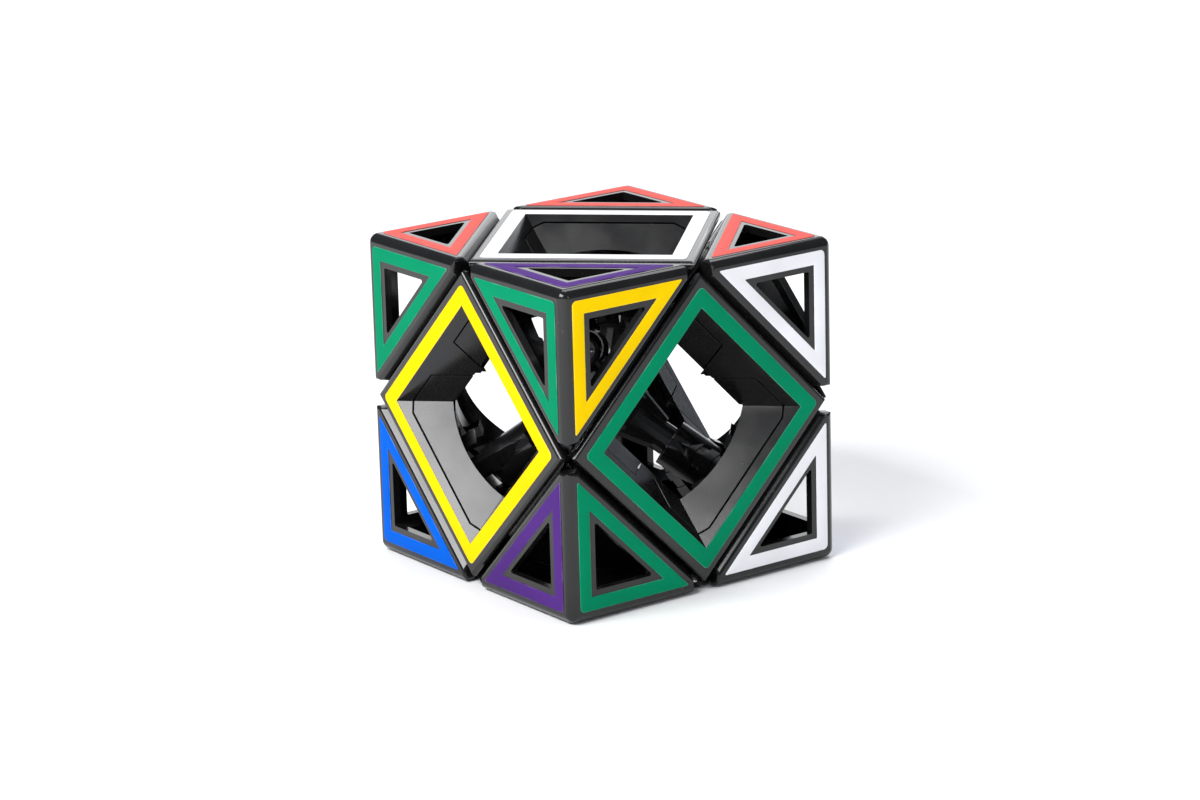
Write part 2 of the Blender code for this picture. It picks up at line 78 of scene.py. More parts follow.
# Corner frames
PLATE = 1.6 * MM  # thickness of a face plate
CORNER_WALL = 3.2 * MM  # from a cut plane to a corner's inner wall
WINDOW_LEG = 26.4 * MM  # from the cube's middle planes to a triangular window's short sides
WINDOW_HYPOTENUSE = 39.3 * MM  # sum of the two face coordinates along its long side
WINDOW_CORNER = 0.35 * MM  # radius
BASE_INNER = 29.2 * MM  # radius about the cube's middle where the walls end
AXLE_SPLIT = 34.0 * MM  # radius of the seam between an axle corner's shell and its base
FLOATING_SPLIT = 36.8 * MM
SEAM = 0.3 * MM  # gap that two joined pieces keep

# Centre frames
CENTRE_WALL = 5.0 * MM
CENTRE_FLOOR = 24.2 * MM  # height over the cube's middle where a centre's walls end
STEP_WIDTHS = (10.5 * MM, 5.0 * MM)  # of the steps under a wall
STEP_DROPS = (1.1 * MM, 2.3 * MM)
STEP_INSETS = (0.4 * MM, 0.7 * MM)  # from the wall's sides
RAIL_TOP = HALF - 1.6 * MM
RAIL_SKIN = 3.1 * MM  # what a rail leaves of the neighbouring wall
RAIL_REACH = 12.5 * MM  # how far a rail's ends run along the neighbouring walls
RAIL_CHAMFER_START = 13.0 * MM
RAIL_CHAMFER_SLOPE = 0.42

# Tongues and grooves, turned about a diagonal
TONGUE_INNER = 32.1 * MM
TONGUE_OUTER = 35.9 * MM
TONGUE_REACH = 1.75 * MM  # past the cut plane
TONGUE_ROOT = 1.5 * MM
TONGUE_END = 3.6 * MM  # from the planes at its two ends
RUNNING = 0.35 * MM

# The axle corner's cup, by distance from the cube's middle along a diagonal
CUP_START = 16.3 * MM
CUP_FLOOR = 1.7 * MM
CUP_END = 26.5 * MM
CUP_RADIUS = 4.8 * MM
CUP_BORE = 3.6 * MM
CUP_RIM = 0.3 * MM  # width of the flat that its chamfer leaves
SHANK_HOLE = 1.4 * MM

# The legs from an axle corner's cup to its walls, and the clips that hold its shell
LEG_START = 18.0 * MM
LEG_END = 31.0 * MM
LEG_NEAR = 1.2 * MM  # from the cut plane
LEG_FAR = 3.6 * MM
LEG_WIDTH = 4.2 * MM
KNUCKLE_NEAR = 0.85 * MM
KNUCKLE_STARTS = (20.1 * MM, 23.9 * MM)
KNUCKLE_WIDTHS = (6.8 * MM, 5.4 * MM)
KNUCKLE_LENGTH = 1.9 * MM
FOOT_OFFSET = 5.1 * MM
FOOT_WIDTH = 2.7 * MM
FOOT_START = 25.8 * MM
FOOT_END = 30.6 * MM
FOOT_LEAN = 0.35
FOOT_TILT = 0.2  # of its end face, which leans in more than on the CAD part
FOOT_NEAR = 1.0 * MM
FOOT_FAR = 2.7 * MM
GUSSET_START = 19.0 * MM
GUSSET_WIDTH = 1.5 * MM
GUSSET_FOOT = 30.4 * MM
GUSSET_SLOPE = 0.48
GUSSET_SUNK = 0.5 * MM
CLIP_START = 30.5 * MM
CLIP_END = 38.4 * MM
CLIP_WIDTH = 5.3 * MM
CLIP_THICKNESS = 0.9 * MM
CLIP_ROOT_END = 33.0 * MM

# Facets in a whole turn
ROUND_STEPS = 48
TRACK_STEPS = 120
BALL_STEPS = 96

# Limits for the mesh work
FAR = 90 * MM  # past every surface of the cube
MERGE = 1e-6  # metres
ON_PLANE = 1e-8  # metres
FLAT_ANGLE = math.radians(0.05)

# Stickers, measured in the face from its middle
STICKER_GAP = 0.01 * MM
STICKER_LEG = 30.26 * MM
STICKER_INNER_LEG = 27.6 * MM
STICKER_SLANT = 34.6 * MM  # sum of the two face coordinates along the long side
STICKER_INNER_SLANT = 38.09 * MM
DIAMOND_OUTER = 28.15 * MM
DIAMOND_INNER = 23.86 * MM
TRIANGLE_RADII = (1.0 * MM, 0.2 * MM, 0.2 * MM)
DIAMOND_RADIUS = 1.0 * MM
CUT_RADIUS = 0.12 * MM
ARC_STEPS = 8
# Across the frame: share of its width, height, and how far the edge is rubbed
STICKER_SECTION = (
    (0, 0, 1),
    (0, 0.07 * MM, 1),
    (0.02, 0.11 * MM, 0.7),
    (0.05, 0.13 * MM, 0),
    (0.95, 0.13 * MM, 0),
    (0.98, 0.11 * MM, 0.5),
    (1, 0.07 * MM, 0.8),
    (1, 0, 0.8),
)
INKS = {
    "yellow": (0.95, 0.63, 0.0005),
    "green": (0.0005, 0.245, 0.113),
    "blue": (0.0005, 0.11, 0.62),
    "purple": (0.074, 0.024, 0.185),
    "red": (0.69, 0.112, 0.096),
    "white": (0.9, 0.9, 0.93),
}
# Of each corner's faces across X, Y and Z
CORNER_COLOURS = {
    "front_right_top": ("yellow", "green", "purple"),
    "front_left_top": ("yellow", "green", "red"),
    "back_right_top": ("white", "blue", "red"),
    "back_left_top": ("white", "green", "red"),
    "front_right_bottom": ("green", "purple", "white"),
    "front_left_bottom": ("yellow", "blue", "red"),
    "back_right_bottom": ("white", "blue", "purple"),
    "back_left_bottom": ("purple", "yellow", "blue"),
}
CENTRE_COLOURS = {
    "top": "white",
    "front": "yellow",
    "right": "green",
    "left": "red",
    "back": "purple",
    "bottom": "blue",
}
FACE_NAMES = {
    (1, 0, 0): "right",
    (-1, 0, 0): "left",
    (0, 1, 0): "back",
    (0, -1, 0): "front",
    (0, 0, 1): "top",
    (0, 0, -1): "bottom",
}

# Materials. A noise is a scale and a detail. A pattern is a noise, the two values between which it fades
# in, and the two that it then runs between, if they aren't 0 and 1.
SKIN_BUMP = 0.02 * MM
BLACK = 0.006  # base colour of both plastics
BLACK_TINT = (1.0, 0.98, 1.02)
HAZE_TINT = (1.5, 1.45, 1.45)
HAZE = (90, 3, 0.35, 0.7)
SCRATCHES = (420, 2, 0.71, 0.77)
SCRATCH_STRETCH = (1, 1, 14)
SCRATCH_ROUGHNESS = 0.08
SPECKS = (1500, 0, 0.82, 0.86)
DUST_PATCHES = (130, 1, 0.5, 0.65)
DUST_COLOUR = (0.07, 0.068, 0.065, 1)
PLASTIC_GRAIN = (2600, 1)
PLASTIC_BUMP = 0.07
PLASTIC_IOR = 1.47
OUTER_ROUGHNESS = (0.14, 0.03)  # middle and spread
INNER_ROUGHNESS = (0.18, 0.04)
INK_SHADES = (0.90, 1.04)  # of the ink's colour, at its deepest and fullest
INK_CLOUD = (60, 2)
INK_CLOUD_FADE = (0.3, 0.7)
INK_GRAIN = (3800, 2)
INK_GRAIN_FADE = (0.35, 0.75, 0, 0.12)
INK_ROUGHNESS = (0.5, 0.6)
INK_BUMP = 0.08
INK_SPECULAR = 0.03
RUBBED = (210, 3, 0.42, 0.72, 0.03, 0.45)
RUBBED_SHADE = 0.92  # what the colour of a rubbed edge goes towards
RUBBED_SHARE = 0.4  # how far
STEEL_TONES = ((0.36, 0.36, 0.37, 1), (0.24, 0.23, 0.22, 1))
STEEL_STAIN = (300, 2, 0.45, 0.7)
STEEL_STREAK = (1800, 2)
STEEL_ROUGHNESS = (0.3, 0.7, 0.28, 0.42)
STEEL_BUMP = 0.2
FLOOR_GRAIN = (900, 3)
FLOOR_ROUGHNESS = (0.75, 0.9)
FLOOR_BUMP = 0.05
FLOOR_BUMP_HEIGHT = 0.05 * MM
FLOOR_SPECULAR = 0.2

# Stage
FLOOR_SIZE = 3.0
FLOOR_GAP = 0.01 * MM
FLOOR_SHADE = (0.94, 0.94, 0.95, 1)
FLOOR_LIGHT = (0.98, 0.98, 0.98, 1)
SKY = 0.2
SKY_TINT = (0.9, 0.98, 1.12, 1)
# Name, place, the point it faces, size, watts. The key hangs level: its inner edge is what the walls of
# the two lit centres part on, one reflecting it and the other not.
SOFTBOXES = (
    ("key", (0.15, -0.87, 0.83), (0.15, -0.87, 0.0), (0.8, 0.66), 23.5),
    ("top", (-0.35, 0.35, 1.05), (0.0, 0.05, HALF), (0.8, 0.8), 7.5),
    ("side", (1.0, 0.35, 0.45), (0.0, 0.0, HALF), (0.3, 0.6), 1.8),
    ("back", (-1.15, 0.85, 0.42), (0.0, 0.0, HALF), (1.3, 0.6), 4.0),
)
CAMERA_AZIMUTH = 53.57
CAMERA_ELEVATION = 15.6
CAMERA_ROLL = -1.54
CAMERA_DISTANCE = 0.78325
CAMERA_LENS = 119.4
CAMERA_SENSOR = 36
CAMERA_SHIFT = (-0.0013, -0.0041)

# Diagonals are numbered 0 to 3. Each points at its axle corner.
DIAGONALS = [Vector(d).normalized() for d in ((1, -1, 1), (-1, 1, 1), (-1, -1, -1), (1, 1, -1))]
X, Y, Z = Vector((1, 0, 0)), Vector((0, 1, 0)), Vector((0, 0, 1))

HALF_TURNS = {
    "none": Matrix.Identity(4),
    "z": Matrix.Rotation(math.pi, 4, "Z"),
    "y": Matrix.Rotation(math.pi, 4, "Y"),
    "x": Matrix.Rotation(math.pi, 4, "X"),
}
THIRD_TURN = Matrix.Rotation(math.radians(120), 4, Vector((1, 1, 1)))

# Each place is a turn of the first in its table
AXLE_PLACES = {
    "front_right_top": HALF_TURNS["none"],
    "back_left_top": HALF_TURNS["z"],
    "front_left_bottom": HALF_TURNS["y"],
    "back_right_bottom": HALF_TURNS["x"],
}
FLOATING_PLACES = {
    "front_left_top": HALF_TURNS["none"],
    "back_right_top": HALF_TURNS["z"],
    "front_right_bottom": HALF_TURNS["y"],
    "back_left_bottom": HALF_TURNS["x"],
}
CENTRE_PLACES = {
    "top": HALF_TURNS["none"],
    "bottom": HALF_TURNS["x"],
    "right": THIRD_TURN,
    "left": HALF_TURNS["z"] @ THIRD_TURN,
    "back": THIRD_TURN @ THIRD_TURN,
    "front": HALF_TURNS["z"] @ THIRD_TURN @ THIRD_TURN,
}


# Solids


def object_from(bm, name="work"):
    bmesh.ops.recalc_face_normals(bm, faces=bm.faces[:])
    mesh = bpy.data.meshes.new(name)
    bm.to_mesh(mesh)
    bm.free()
    obj = bpy.data.objects.new(name, mesh)
    bpy.context.scene.collection.objects.link(obj)
    return obj


def convex(planes):
    """The space inside all planes, each an outward unit normal and its distance from the origin."""
    bm = bmesh.new()
    bmesh.ops.create_cube(bm, size=2 * FAR)
    for normal, distance in planes:
        bmesh.ops.bisect_plane(
            bm,
            geom=bm.verts[:] + bm.edges[:] + bm.faces[:],
            dist=ON_PLANE,
            plane_co=normal * distance,
            plane_no=normal,
            clear_outer=True,
        )
        rim = [edge for edge in bm.edges if edge.is_boundary]
        if rim:
            bmesh.ops.edgeloop_fill(bm, edges=rim)
    return object_from(bm)


def turned(profile, axis, steps):
    """A closed profile of (radius, height) points, turned about an axis through the origin."""
    bm = bmesh.new()
    verts = [bm.verts.new((radius, 0, height)) for radius, height in profile]
    edges = [bm.edges.new((verts[i - 1], verts[i])) for i in range(len(verts))]
    bmesh.ops.spin(
        bm, geom=verts + edges, cent=(0, 0, 0), axis=Z, angle=2 * math.pi, steps=steps, use_merge=True
    )
    bmesh.ops.remove_doubles(bm, verts=bm.verts[:], dist=MERGE)
    on_axis = [edge for edge in bm.edges if not edge.link_faces]
    bmesh.ops.delete(bm, geom=on_axis, context="EDGES")
    bmesh.ops.transform(bm, matrix=axis.to_track_quat("Z", "Y").to_matrix().to_4x4(), verts=bm.verts[:])
    return object_from(bm)


def disc(radius, start, end, axis, steps=ROUND_STEPS):
    return turned([(0, start), (radius, start), (radius, end), (0, end)], axis, steps)


def ball(radius):
    bm = bmesh.new()
    bmesh.ops.create_uvsphere(bm, u_segments=BALL_STEPS, v_segments=BALL_STEPS // 2, radius=radius)
    return object_from(bm)


def triangulate(mesh):
    """An exact Boolean cuts flat triangles cleanly. A face with more corners is never quite flat."""
    bm = bmesh.new()
    bm.from_mesh(mesh)
    bmesh.ops.remove_doubles(bm, verts=bm.verts[:], dist=MERGE)
    bmesh.ops.dissolve_degenerate(bm, edges=bm.edges[:], dist=MERGE)
    bmesh.ops.dissolve_limit(bm, angle_limit=FLAT_ANGLE, verts=bm.verts[:], edges=bm.edges[:])
    bmesh.ops.triangulate(bm, faces=bm.faces[:])
    bm.to_mesh(mesh)
    bm.free()


def combine(target, other, operation, solver="EXACT"):
    """Changes target by a Boolean with other, which is used up."""
    triangulate(target.data)
    triangulate(other.data)
    modifier = target.modifiers.new("combine", "BOOLEAN")
    modifier.operation = operation
    modifier.solver = solver
    modifier.object = other
    bpy.context.view_layer.update()
    graph = bpy.context.evaluated_depsgraph_get()
    result = bpy.data.meshes.new_from_object(target.evaluated_get(graph))
    target.modifiers.clear()
    before = target.data
    target.data = result
    bpy.data.meshes.remove(before)
    bpy.data.objects.remove(other, do_unlink=True)
    return target


def cut(target, *others, **choice):
    for other in others:
        combine(target, other, "DIFFERENCE", **choice)
    return target


def join(target, *others, **choice):
    for other in others:
        combine(target, other, "UNION", **choice)
    return target


def keep(target, *others):
    for other in others:
        combine(target, other, "INTERSECT")
    return target


# Planes, each an outward normal and a distance


def side(index, distance, sign):
    """Keeps what is at least distance from a cut plane, on its + or its - side."""
    return (-sign * DIAGONALS[index], -distance)


def fillet(first, second, radius):
    """Planes tangent to a fillet between two planes."""
    (n1, c1), (n2, c2) = first, second
    g = n1.dot(n2)
    a = ((c1 - radius) - g * (c2 - radius)) / (1 - g * g)
    b = ((c2 - radius) - g * (c1 - radius)) / (1 - g * g)
    middle = a * n1 + b * n2
    found = []
    for step in range(1, FILLET_STEPS + 1):
        normal = n1.slerp(n2, step / (FILLET_STEPS + 1))
        found.append((normal, normal.dot(middle) + radius))
    return found


def rounded_point(faces, radius):
    """Planes that round the point where three square faces meet, between those of the fillets."""
    (n1, _), (n2, _), (n3, _) = faces
    middle = (HALF - radius) * (n1 + n2 + n3)
    found = []
    for first in range(1, FILLET_STEPS):
        for second in range(1, FILLET_STEPS + 1 - first):
            normal = (first * n1 + second * n2 + (FILLET_STEPS + 1 - first - second) * n3).normalized()
            found.append((normal, normal.dot(middle) + radius))
    return found


def track(index, inner, outer, low, high):
    """A flat ring about a diagonal."""
    profile = [(inner, low), (outer, low), (outer, high), (inner, high)]
    return turned(profile, DIAGONALS[index], TRACK_STEPS)


def groove(index):
    """The space of a tongue, with room to run."""
    inner, outer = TONGUE_INNER - RUNNING, TONGUE_OUTER + RUNNING
    return track(index, inner, outer, -TONGUE_REACH - RUNNING, CLEARANCE + RUNNING)


def tongue(index, ends):
    """The tongue that crosses one cut plane, between the planes at its two ends."""
    ring = track(index, TONGUE_INNER, TONGUE_OUTER, -TONGUE_REACH, TONGUE_ROOT)
    return keep(ring, convex([side(end, TONGUE_END, sign) for end, sign in ends]))


# Corners


def corner_faces(corner):
    """The three cube faces that meet at a corner, given by the signs of its coordinates."""
    return [(axis * sign, HALF) for axis, sign in zip((X, Y, Z), corner)]


def nearest_cut(face, cuts):
    """The cut plane along the long side of a corner's triangular face."""
    return min(cuts, key=lambda plane: abs(plane[0].dot(face[0]) - 1 / math.sqrt(3)))


def corner_block(corner, cuts):
    """A whole corner with its outer edges rounded, before it's hollowed."""
    faces = corner_faces(corner)
    ends = [(-normal, -CORNER_END) for normal, _ in faces]
    planes = faces + cuts + ends + rounded_point(faces, EDGE_RADIUS)
    for i in range(3):
        planes += fillet(faces[i], ends[i - 1], CUT_EDGE_RADIUS)
        planes += fillet(faces[i], ends[i - 2], CUT_EDGE_RADIUS)
        for wall in cuts:
            if wall[0].dot(ends[i][0]) > 0:
                planes += fillet(wall, ends[i], END_RADIUS)
        planes += fillet(faces[i - 1], faces[i], EDGE_RADIUS)
        planes += fillet(faces[i], nearest_cut(faces[i], cuts), CUT_EDGE_RADIUS)
    return convex(planes)


def corner_cavity(corner, walls):
    faces = [(normal, distance - PLATE) for normal, distance in corner_faces(corner)]
    return convex(faces + walls)


def corner_windows(corner):
    """A triangular prism through each of the three face plates."""
    faces = corner_faces(corner)
    found = []
    for i in range(3):
        across, along, out = faces[i - 2][0], faces[i - 1][0], faces[i][0]
        slant = (across + along).normalized()
        rim = [(across, WINDOW_LEG), (along, WINDOW_LEG), (-slant, -WINDOW_HYPOTENUSE / math.sqrt(2))]
        corners = [plane for k in range(3) for plane in fillet(rim[k - 1], rim[k], WINDOW_CORNER)]
        found.append(convex(rim + corners + [(-out, -(HALF - 3 * PLATE)), (out, HALF + 2 * PLATE)]))
    return found


def corner_shell(corner, sign, others, split):
    """The outer part of a corner: three windowed face plates, joined along the cube's edges."""
    shell = corner_block(corner, [side(index, CLEARANCE, sign) for index in others])
    cut(shell, corner_cavity(corner, [side(index, CORNER_WALL, sign) for index in others]))
    cut(shell, *corner_windows(corner))
    return cut(shell, ball(split + SEAM / 2))


def corner_walls(sign, others, split):
    """The inner part of a corner: three walls along the cuts, from the seam to the hollow middle."""
    walls = convex([side(index, CLEARANCE, sign) for index in others])
    keep(walls, ball(split - SEAM / 2))
    cut(walls, convex([side(index, CORNER_WALL, sign) for index in others]))
    return cut(walls, ball(BASE_INNER))


def along_wall(index, near, far, start, end, width):
    """A block that lies along a wall of the first axle corner, on the line up the middle of it."""
    normal, up, across = wall_frame(index)
    depth = [(-normal, far), (normal, -near)]
    return convex(depth + [(up, end), (-up, -start), (across, width / 2), (-across, width / 2)])


def wall_frame(index):
    """Square to a wall of the first axle corner, up the middle of it, and across it."""
    normal = DIAGONALS[index]
    up = (DIAGONALS[0] - DIAGONALS[0].dot(normal) * normal).normalized()
    return normal, up, normal.cross(up)


def ridge(index, near, width, start, end):
    """A bar up the middle of a wall, with its roof towards the cut plane."""
    normal, up, across = wall_frame(index)
    slopes = [(normal + across).normalized(), (normal - across).normalized()]
    return convex(
        [(slope, -near * slope.dot(normal)) for slope in slopes]
        + [(-normal, LEG_FAR), (up, end), (-up, -start), (across, width / 2), (-across, width / 2)]
    )


def foot(index, sign):
    """A tab beside the leg that reaches in past the wall."""
    normal, up, across = wall_frame(index)
    middle = sign * FOOT_OFFSET
    lean = (up + FOOT_LEAN * sign * across).normalized()
    face = (normal + FOOT_TILT * up).normalized()
    return convex(
        [
            (face, face.dot(FOOT_START * up - FOOT_NEAR * normal)),
            (-normal, FOOT_FAR),
            (up, FOOT_END),
            (-lean, -lean.dot(FOOT_START * up + middle * across)),
            (across, middle + FOOT_WIDTH / 2),
            (-across, FOOT_WIDTH / 2 - middle),
        ]
    )


def gusset(index):
    """A rib that stands on a leg and slopes up to the cup."""
    normal, up, across = wall_frame(index)
    slope = (GUSSET_SLOPE * up - normal).normalized()
    lowest = GUSSET_FOOT * up - (LEG_FAR - GUSSET_SUNK) * normal
    return convex(
        [
            (normal, -2 * LEG_NEAR),
            (up, GUSSET_FOOT),
            (-up, -GUSSET_START),
            (across, GUSSET_WIDTH / 2),
            (-across, GUSSET_WIDTH / 2),
            (slope, slope.dot(lowest)),
        ]
    )


def clip(index):
    """A tab that stands off the shell's wall, on a root that joins it to the base's wall."""
    near = CORNER_WALL + SEAM
    middle = near + CLIP_THICKNESS / 2
    tab = along_wall(index, near, near + CLIP_THICKNESS, CLIP_START, CLIP_END, CLIP_WIDTH)
    root = along_wall(index, LEG_NEAR * 2, middle, CLIP_START + SEAM, CLIP_ROOT_END, CLIP_WIDTH - SEAM)
    return join(tab, root)


def axle_corner_shell():
    shell = corner_shell((1, -1, 1), -1, (1, 2, 3), AXLE_SPLIT)
    return cut(shell, *[groove(index) for index in (1, 2, 3)])


def axle_corner_base():
    """Walls with the inner lip of each groove, three legs to a cup on the axle, and three clips."""
    parts = []
    for index in (1, 2, 3):
        parts += [ridge(index, LEG_NEAR, LEG_WIDTH, LEG_START, LEG_END), clip(index), gusset(index)]
        for start, width in zip(KNUCKLE_STARTS, KNUCKLE_WIDTHS):
            parts.append(ridge(index, KNUCKLE_NEAR, width, start, start + KNUCKLE_LENGTH))
        parts += [foot(index, 1), foot(index, -1)]
    rim = CUP_BORE + CUP_RIM
    shoulder = CUP_END - (CUP_RADIUS - rim)
    side_of_cup = [(CUP_RADIUS, CUP_START), (CUP_RADIUS, shoulder), (rim, CUP_END)]
    parts.append(turned([(0, CUP_START)] + side_of_cup + [(0, CUP_END)], DIAGONALS[0], ROUND_STEPS))
    bore = disc(CUP_BORE, CUP_START + CUP_FLOOR, CUP_END + PLATE, DIAGONALS[0])
    hole = disc(SHANK_HOLE, CUP_START - PLATE, CUP_START + 2 * CUP_FLOOR, DIAGONALS[0])
    base = join(corner_walls(-1, (1, 2, 3), AXLE_SPLIT), *parts, solver="MANIFOLD")
    return cut(base, bore, hole, *[groove(index) for index in (1, 2, 3)], solver="MANIFOLD")


def floating_corner_shell():
    return corner_shell((-1, -1, 1), 1, (0, 1, 2), FLOATING_SPLIT)


def floating_corner_base():
    """Walls with a tongue out of each."""
    base = corner_walls(1, (0, 1, 2), FLOATING_SPLIT)
    for index in (0, 1, 2):
        ends = [(end, 1) for end in (0, 1, 2) if end != index]
        join(base, tongue(index, ends))
    return base


# Centres. The top one is on the + side of cuts 0 and 1, where its rails are, and on the - side of 2
# and 3.


def centre_sides(distance):
    return [side(0, distance, 1), side(1, distance, 1), side(2, distance, -1), side(3, distance, -1)]


def rail_space(grow):
    """The space of the rail along cut 0, and with grow the pocket for it."""
    along = (X + Y).normalized()
    slopes = []
    for sign in (1, -1):
        normal = (Z + RAIL_CHAMFER_SLOPE * sign * along).normalized()
        height = RAIL_TOP + RAIL_CHAMFER_SLOPE * RAIL_CHAMFER_START
        slopes.append((normal, height * normal.z + grow))
    return slopes + [
        (Z, RAIL_TOP + grow),
        (DIAGONALS[0], RAIL_REACH + grow),
        side(2, RAIL_SKIN + SEAM - grow, -1),
        side(3, RAIL_SKIN + SEAM - grow, -1),
    ]


def wall_step(index, width, drop, inset):
    """A block under one of the cap's walls, which steps its inner end."""
    along = DIAGONALS[index].cross(Z).normalized()
    return convex(
        [
            side(index, CLEARANCE + inset, -1),
            (-DIAGONALS[index], CENTRE_WALL - inset),
            (along, width / 2),
            (-along, width / 2),
            (-Z, drop - CENTRE_FLOOR),
            (Z, CENTRE_FLOOR + PLATE),
        ]
    )


def centre_cap():
    """The square frame on the face, with two deep walls. The rails close its other two sides."""
    face = (Z, HALF)
    sides = centre_sides(CLEARANCE)
    ends = [(X, CENTRE_END), (Y, CENTRE_END), (-X, CENTRE_END), (-Y, CENTRE_END)]
    planes = [face, (-Z, -CENTRE_FLOOR)] + sides + ends
    for end in ends:
        planes += fillet(face, end, CUT_EDGE_RADIUS)
        for wall in sides:
            if wall[0].dot(end[0]) > 0:
                planes += fillet(wall, end, END_RADIUS)
    for wall in sides:
        planes += fillet(face, wall, CUT_EDGE_RADIUS)
    cap = convex(planes)
    cut(cap, convex(centre_sides(CENTRE_WALL)))
    for index in (2, 3):
        join(cap, *[wall_step(index, *sizes) for sizes in zip(STEP_WIDTHS, STEP_DROPS, STEP_INSETS)])
    first = convex(rail_space(SEAM))
    second = convex(rail_space(SEAM))
    second.matrix_world = HALF_TURNS["z"]
    cut(cap, first, second)
    return cut(cap, groove(2), groove(3))


def centre_rail():
    """One deep wall with its tongue. Its ends wrap round onto the cap's walls."""
    rail = convex([side(0, CLEARANCE, 1), (-Z, -CENTRE_FLOOR)] + rail_space(0))
    cut(rail, convex(centre_sides(CENTRE_WALL)))
    scallop = keep(ball(BASE_INNER), convex([(DIAGONALS[0], CENTRE_WALL + SEAM)]))
    cut(rail, scallop)
    return join(rail, tongue(0, [(2, -1), (3, -1)]))


# Fine edges


def soften(piece):
    """Rounds sharp edges by a hair, as far as short ones let it, and keeps flat faces looking flat."""
    bm = bmesh.new()
    bm.from_mesh(piece.data)
    bmesh.ops.remove_doubles(bm, verts=bm.verts[:], dist=SOFT_MERGE)
    bmesh.ops.dissolve_limit(bm, angle_limit=SOFT_FLAT_ANGLE, verts=bm.verts[:], edges=bm.edges[:])
    bm.to_mesh(piece.data)
    bm.free()
    bevel = piece.modifiers.new("hair", "BEVEL")
    bevel.width = HAIR
    bevel.segments = HAIR_SEGMENTS
    bevel.limit_method = "ANGLE"
    bevel.angle_limit = SHARP_ANGLE
    bevel.miter_outer = "MITER_ARC"
    piece.data.shade_smooth()
    piece.data.set_sharp_from_angle(angle=CREASE_ANGLE)
    normals = piece.modifiers.new("flat_faces", "WEIGHTED_NORMAL")
    normals.keep_sharp = True
    bpy.context.view_layer.update()
    graph = bpy.context.evaluated_depsgraph_get()
    done = bpy.data.meshes.new_from_object(piece.evaluated_get(graph))
    bpy.data.objects.remove(piece, do_unlink=True)
    return done


# Stickers


def rounded_loop(corners, radii):
    """Points round a polygon whose corners are arcs, the same number for each corner."""
    points = []
    for i, (corner, radius) in enumerate(zip(corners, radii)):
        back = (corners[i - 1] - corner).normalized()
        on = (corners[(i + 1) % len(corners)] - corner).normalized()
        half = back.angle(on) / 2
        middle = corner + (back + on).normalized() * radius / math.sin(half)
        start = corner + back * radius / math.tan(half) - middle
        turn = (math.pi - 2 * half) * (1 if back.cross(on) < 0 else -1)
        for step in range(ARC_STEPS + 1):
            points.append(middle + Matrix.Rotation(turn * step / ARC_STEPS, 2) @ start)
    return points


def sticker_mesh(name, outer, inner):
    """A thin frame between two loops, domed a little at both edges."""
    bm = bmesh.new()
    rim = bm.verts.layers.float.new("rim")
    rings = []
    for share, height, worn in STICKER_SECTION:
        ring = []
        for a, b in zip(outer, inner):
            point = a.lerp(b, share)
            vert = bm.verts.new((point.x, point.y, HALF + STICKER_GAP + height))
            vert[rim] = worn
            ring.append(vert)
        rings.append(ring)
    for first, second in zip(rings, rings[1:] + rings[:1]):
        for i in range(len(first)):
            bm.faces.new((first[i - 1], first[i], second[i], second[i - 1]))
    bmesh.ops.recalc_face_normals(bm, faces=bm.faces[:])
    mesh = bpy.data.meshes.new(name)
    bm.to_mesh(mesh)
    bm.free()
    mesh.shade_smooth()
    mesh.set_sharp_from_angle(angle=STICKER_CREASE_ANGLE)
    return mesh


def triangle_corners(leg, slant):
    """The right-angled corner first."""
    return [Vector((leg, leg)), Vector((slant - leg, leg)), Vector((leg, slant - leg))]


def diamond_corners(reach):
    return [Vector((reach, 0)), Vector((0, reach)), Vector((-reach, 0)), Vector((0, -reach))]


def triangle_sticker():
    outer = rounded_loop(triangle_corners(STICKER_LEG, STICKER_SLANT), TRIANGLE_RADII)
    inner = rounded_loop(triangle_corners(STICKER_INNER_LEG, STICKER_INNER_SLANT), [CUT_RADIUS] * 3)
    return sticker_mesh("triangle_sticker", outer, inner)


def diamond_sticker():
    outer = rounded_loop(diamond_corners(DIAMOND_OUTER), [DIAMOND_RADIUS] * 4)
    inner = rounded_loop(diamond_corners(DIAMOND_INNER), [CUT_RADIUS] * 4)
    return sticker_mesh("diamond_sticker", outer, inner)


def facing(across, along, out):
    """The turn that takes a sticker made on the top to the face that out points from."""
    if across.cross(along).dot(out) < 0:
        across, along = along, across
    return Matrix((across, along, out)).transposed().to_4x4()


# Materials


def node_tree(name):
    made = bpy.data.materials.new(name)
    made.use_nodes = True
    tree = made.node_tree
    return made, tree, tree.nodes["Principled BSDF"]


def add(tree, kind, inputs=None, **settings):
    """A new node. inputs are values, or sockets to link."""
    node = tree.nodes.new(kind)
    for name, value in settings.items():
        setattr(node, name, value)
    for name, value in (inputs or {}).items():
        if isinstance(value, bpy.types.NodeSocket):
            tree.links.new(value, node.inputs[name])
        else:
            node.inputs[name].default_value = value
    return node


def own_place(tree):
    """Object coordinates, shifted for each piece so that no two have the same marks."""
    place = add(tree, "ShaderNodeTexCoord").outputs["Object"]
    chance = add(tree, "ShaderNodeObjectInfo").outputs["Random"]
    return add(tree, "ShaderNodeVectorMath", {0: place, 1: chance}, operation="ADD").outputs[0]


def noise(tree, place, scale, detail):
    node = add(tree, "ShaderNodeTexNoise", {"Vector": place, "Scale": scale, "Detail": detail})
    return node.outputs["Fac"]


def ramp(tree, value, low, high, to_low=0.0, to_high=1.0):
    inputs = {"Value": value, "From Min": low, "From Max": high, "To Min": to_low, "To Max": to_high}
    return add(tree, "ShaderNodeMapRange", inputs).outputs["Result"]


def pattern(tree, place, scale, detail, *fade):
    return ramp(tree, noise(tree, place, scale, detail), *fade)


